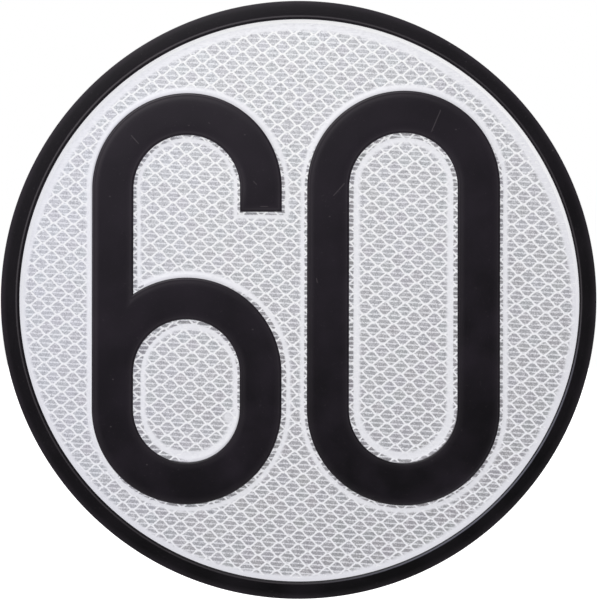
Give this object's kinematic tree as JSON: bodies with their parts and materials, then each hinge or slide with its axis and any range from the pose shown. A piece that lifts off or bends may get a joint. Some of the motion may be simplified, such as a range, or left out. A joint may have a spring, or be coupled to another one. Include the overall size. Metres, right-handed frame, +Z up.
{
  "type": "speed limit sign",
  "caption": "Round pressed plate with a raised black rim and raised black figures on a white reflective field, hollow behind and fixed flat by its back.",
  "frame": {"origin": "middle of the flat back, where the plate meets what it is fixed to", "axes": "+Z up, the face looks along -Y, +X to the right of a person who reads the figures"},
  "size_m": [0.2, 0.003, 0.2],
  "materials": {
    "white_sheeting": "white prismatic reflective sheeting, bonded to aluminium that is bare on its back",
    "black_print": "satin black print, finely scratched"
  },
  "bodies": {
    "root": {"pressed_plate": "white_sheeting", "black_rim": "black_print", "black_six": "black_print", "black_zero": "black_print"}
  },
  "joints": []
}
